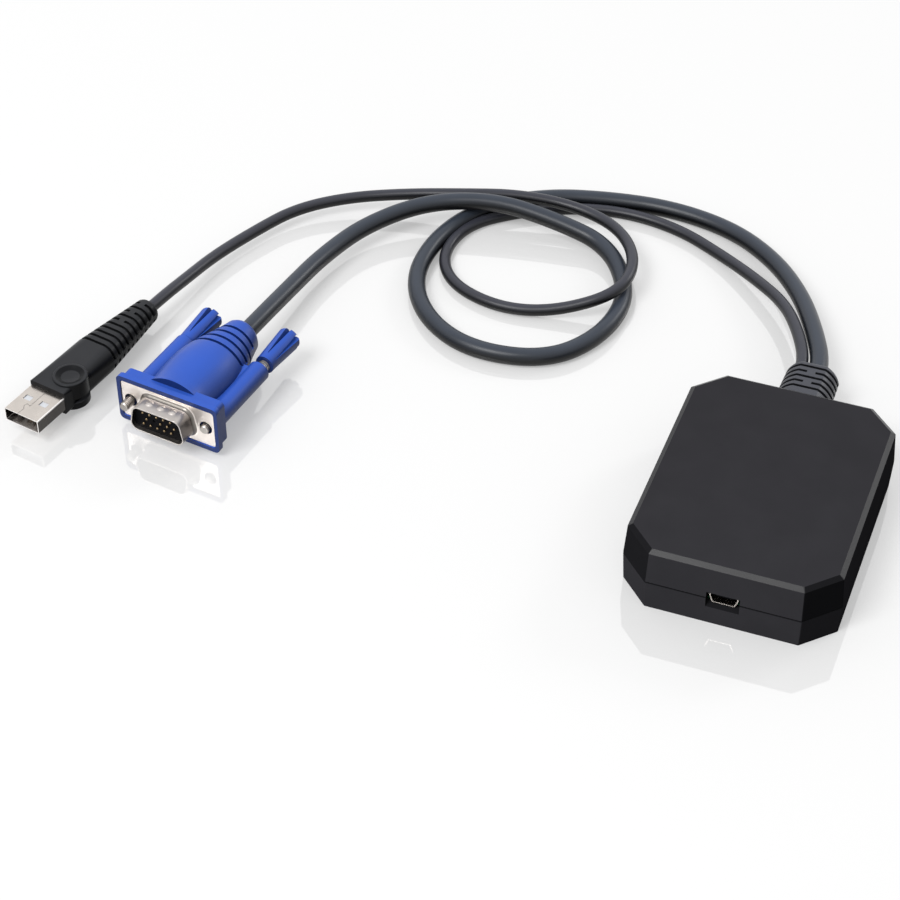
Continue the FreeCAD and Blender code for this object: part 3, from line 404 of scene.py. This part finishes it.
nodeFinishes = {
    "shellPlastic": ["bottom_shell", "top_shell"],
    "bootRubber": ["cable_boot"],
    "hoodBlue": ["video_hood", "left_screw_grip", "right_screw_grip"],
    "plugBlack": ["usb_body"],
    "insulatorBlack": ["video_insulator", "port_tongue"],
    "insulatorWhite": ["usb_tongue"],
    "nickel": ["video_shell", "usb_shell"],
    "threadNickel": ["left_screw_shank", "right_screw_shank"],
    "screwNickel": ["housing_screw_1", "housing_screw_2", "housing_screw_3", "housing_screw_4"],
    "portNickel": ["port_shell"],
    "gold": ["video_pins", "usb_contacts", "port_contacts"],
    "boardGreen": ["circuit_board"],
    "chipEpoxy": ["capture_chip", "controller_chip", "memory_chip"],
    "canMetal": ["crystal", "capacitors"],
    "nylon": ["video_header", "usb_header", "video_header_plug", "usb_header_plug"],
    "leadRed": ["video_leads", "usb_leads"],
    "thickJacket": ["video_cable"],
    "thinJacket": ["usb_cable"],
}
for finish, names in nodeFinishes.items():
    for name in names:
        nodes[name].data.materials.clear()
        nodes[name].data.materials.append(materials[finish])
print("materials made:", len(materials))


# mouldings and sheet metal with their edges rounded, lengths in millimetres

coverLooks = {"seamHeight": 9.1, "seamReach": 0.4, "slope": 0.3, "stripHeight": 18.0,
              "stripTilt": (0.55, 0.985), "portHalfWidth": 4.6, "portDepths": (-38.45, -36.0),
              "portTop": 14.0, "portFacing": -0.9}


def coverFinish(place, normal):
    # the strips round the top are smoother, and the seam, the recess of the port and the upper front
    # corners have painted shade
    height = place.z / mm
    slope = coverLooks["slope"]
    if abs(height - coverLooks["seamHeight"]) < coverLooks["seamReach"] and abs(normal.z) > slope:
        return 2
    nearest, deepest = coverLooks["portDepths"]
    inPort = abs(place.x / mm) < coverLooks["portHalfWidth"] and nearest < place.y / mm < deepest
    if inPort and height < coverLooks["portTop"] and normal.y > coverLooks["portFacing"]:
        return 2
    if height > coverLooks["seamHeight"] and abs(normal.x) > slope and normal.y < -slope:
        return 2
    steepest, flattest = coverLooks["stripTilt"]
    return 1 if height > coverLooks["stripHeight"] and steepest < normal.z < flattest else 0


# the flange of the video plug lies in the plane through this place, across the plug
flangeLooks = {"place": (-165.3, -21.5, 9.6), "reach": 0.3, "flatFacing": 0.9, "root": 1.3,
               "rootFacing": 0.1}


def flangeFinish(place, normal):
    # the flat of the flange is duller than the drawn shell and painted lighter, and the bend between them
    # has painted shadow
    forward = -Vector(plugAlong)
    ahead = (place / mm - Vector(flangeLooks["place"])).dot(forward)
    facing = normal.dot(forward)
    if abs(ahead) < flangeLooks["reach"] and facing > flangeLooks["flatFacing"]:
        return 1
    return 2 if 0 < ahead < flangeLooks["root"] and facing > flangeLooks["rootFacing"] else 0


# the dish in the upper finger disc of the USB plug has its middle here
dishLooks = {"place": (-197.81, -17.45), "middle": 2.8, "radius": 4.2, "above": 6.0, "facingUp": 0.3}


def dishFinish(place, normal):
    # painted shade makes the slope of the dish darker than its middle
    away = (Vector(place[:2]) / mm - Vector(dishLooks["place"])).length
    onSlope = dishLooks["middle"] < away < dishLooks["radius"]
    onTop = place.z / mm > dishLooks["above"] and normal.z > dishLooks["facingUp"]
    return 1 if onSlope and onTop else 0


sleeveLooks = {"bendTilt": (0.25, 0.96), "mouth": -33.0, "mouthFacing": -0.7}


def sleeveFinish(place, normal):
    # the long bends and the cut front edge of the sheet have a painted highlight
    steepest, flattest = sleeveLooks["bendTilt"]
    onBend = steepest < normal.z < flattest
    onMouth = normal.y < sleeveLooks["mouthFacing"] and place.y / mm < sleeveLooks["mouth"]
    return 1 if onBend or onMouth else 0


# round is the width of a rounded edge, and only edges that turn by more than sharpest degrees are rounded
softened = {
    "topCover": {"from": "top_shell", "finish": "shellPlastic", "slot": "shell", "round": 0.16,
                 "sharpest": 12, "also": ["shellBevel", "shellShadow"], "choose": coverFinish},
    "bottomCover": {"from": "bottom_shell", "finish": "shellPlastic", "slot": "shell", "round": 0.16,
                    "sharpest": 12, "also": ["shellBevel", "shellShadow"], "choose": coverFinish},
    "strainBoot": {"from": "cable_boot", "finish": "bootRubber", "slot": "rubber", "round": 0.16,
                   "sharpest": 30},
    "plugHood": {"from": "video_hood", "finish": "hoodBlue", "slot": "blue", "round": 0.22,
                 "sharpest": 30},
    "leftGrip": {"from": "left_screw_grip", "finish": "hoodBlue", "slot": "blue", "round": 0.22,
                 "sharpest": 30, "body": "left_thumbscrew"},
    "rightGrip": {"from": "right_screw_grip", "finish": "hoodBlue", "slot": "blue", "round": 0.22,
                  "sharpest": 30, "body": "right_thumbscrew"},
    "plugShell": {"from": "video_shell", "finish": "shellNickel", "slot": "steel", "round": 0.1,
                  "sharpest": 40, "also": ["flangePaintedLight", "paintedRootShadow"], "choose": flangeFinish},
    "fingerBody": {"from": "usb_body", "finish": "plugBlack", "slot": "black", "round": 0.25,
                   "sharpest": 30, "also": ["plugShadow"], "choose": dishFinish},
    "usbSleeve": {"from": "usb_shell", "finish": "nickel", "slot": "steel", "round": 0.07,
                  "sharpest": 40, "also": ["paintedEdgeHighlight"], "choose": sleeveFinish},
}
edgeWork = {"merge": 0.002, "flatAngle": 0.6, "segments": 2, "weight": 60}


def roundEdges(shape, width, sharpest):
    # flat faces are joined first, so that only real edges are left to round
    bmesh.ops.remove_doubles(shape, verts=shape.verts, dist=edgeWork["merge"] * mm)
    bmesh.ops.dissolve_limit(shape, angle_limit=math.radians(edgeWork["flatAngle"]), verts=shape.verts,
                             edges=shape.edges)
    limit = math.radians(sharpest)
    sharp = [edge for edge in shape.edges if len(edge.link_faces) == 2 and edge.calc_face_angle(0.0) > limit]
    bmesh.ops.bevel(shape, geom=sharp, offset=width * mm, offset_type="OFFSET", profile=0.5,
                    segments=edgeWork["segments"], affect="EDGES", material=-1, clamp_overlap=True)


def soften(name, given):
    source = nodes[given["from"]]
    mesh = bpy.data.meshes.new(name)
    shape = bmesh.new()
    shape.from_mesh(source.data)
    bmesh.ops.transform(shape, matrix=source.matrix_world, verts=shape.verts)
    before = len(shape.faces)
    roundEdges(shape, given["round"], given["sharpest"])
    print(name, before, "faces to", len(shape.faces))
    shape.to_mesh(mesh)
    shape.free()
    mesh.shade_smooth()
    mesh.materials.append(materials[given["finish"]])
    if "choose" in given:
        for finish in given["also"]:
            mesh.materials.append(materials[finish])
        for face in mesh.polygons:
            face.material_index = given["choose"](face.center, face.normal)
    piece = bpy.data.objects.new(name, mesh)
    bpy.context.scene.collection.objects.link(piece)
    weigh = piece.modifiers.new("evenShading", "WEIGHTED_NORMAL")
    weigh.keep_sharp = True
    weigh.weight = edgeWork["weight"]
    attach(piece, given.get("body", "adapter"))
    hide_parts(given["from"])


for name, given in softened.items():
    soften(name, given)
print("edges rounded")


# cables: diameter and route in millimetres, length in metres, each route from the box to its plug

videoCable = {
    "diameter": 5.4, "length": 0.487, "finish": "thickJacket",
    "route": [
        (1.3, 50.9, 9.3), (1.3, 61.5, 9.3), (-4.8, 78.0, 8.2), (-13.5, 96.0, 6.2), (-25.5, 112.0, 4.2),
        (-41.5, 124.0, 2.9), (-62.0, 128.5, 2.7), (-82.0, 126.5, 2.7), (-102.0, 121.0, 2.7),
        (-119.0, 108.5, 2.7), (-127.0, 89.0, 2.7), (-126.5, 67.5, 2.7), (-115.5, 50.5, 2.7),
        (-98.0, 41.5, 2.7), (-75.5, 45.0, 2.7), (-64.0, 61.5, 2.7), (-62.5, 82.5, 2.7),
        (-75.0, 102.5, 3.4), (-93.5, 105.0, 6.8), (-113.5, 105.0, 9.3), (-133.5, 98.5, 8.2),
        (-148.0, 83.5, 6.2), (-154.5, 64.0, 6.2), (-156.8, 44.5, 7.6), (-158.7, 24.5, 9.5),
        (-160.4, 12.6, 9.6),
    ],
}
usbCable = {
    "diameter": 3.6, "length": 0.457, "finish": "thinJacket",
    "route": [
        (-3.7, 50.9, 9.3), (-3.7, 61.0, 9.3), (-8.5, 74.5, 8.6), (-16.5, 89.5, 6.6), (-29.0, 101.5, 4.2),
        (-42.0, 111.5, 2.2), (-57.5, 120.0, 1.8), (-75.0, 123.0, 1.8), (-92.0, 119.7, 1.8),
        (-108.0, 111.3, 1.8), (-120.8, 99.5, 1.8), (-122.8, 82.5, 1.8), (-114.5, 69.7, 1.8),
        (-97.0, 64.0, 1.8), (-80.5, 67.5, 2.6), (-63.5, 75.5, 8.2), (-63.5, 92.5, 8.0),
        (-73.5, 108.5, 6.2), (-89.0, 114.0, 6.8), (-107.5, 112.0, 8.2), (-124.5, 106.6, 8.0),
        (-142.0, 102.5, 6.4), (-159.0, 96.0, 5.2), (-172.5, 85.5, 4.5), (-180.0, 71.0, 4.2),
        (-186.2, 55.0, 4.6), (-188.9, 40.5, 5.8), (-191.1, 29.2, 6.65), (-193.3, 18.5, 6.65),
    ],
}
cableMesh = {"around": 7, "along": 14, "order": 3}


def layCable(name, node, cable):
    curve = bpy.data.curves.new(name, "CURVE")
    curve.dimensions = "3D"
    curve.bevel_depth = cable["diameter"] / 2 * mm
    curve.bevel_resolution = cableMesh["around"]
    curve.use_fill_caps = True
    curve.resolution_u = cableMesh["along"]
    spline = curve.splines.new("NURBS")
    spline.points.add(len(cable["route"]) - 1)
    for point, place in zip(spline.points, cable["route"]):
        point.co = (*(value * mm for value in place), 1)
    spline.order_u = cableMesh["order"]
    spline.use_endpoint_u = True
    piece = bpy.data.objects.new(name, curve)
    bpy.context.scene.collection.objects.link(piece)
    curve.materials.append(materials[cable["finish"]])
    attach(piece, "adapter")
    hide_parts(node)


layCable("videoCableJacket", "video_cable", videoCable)
layCable("usbCableJacket", "usb_cable", usbCable)
print("cables laid")
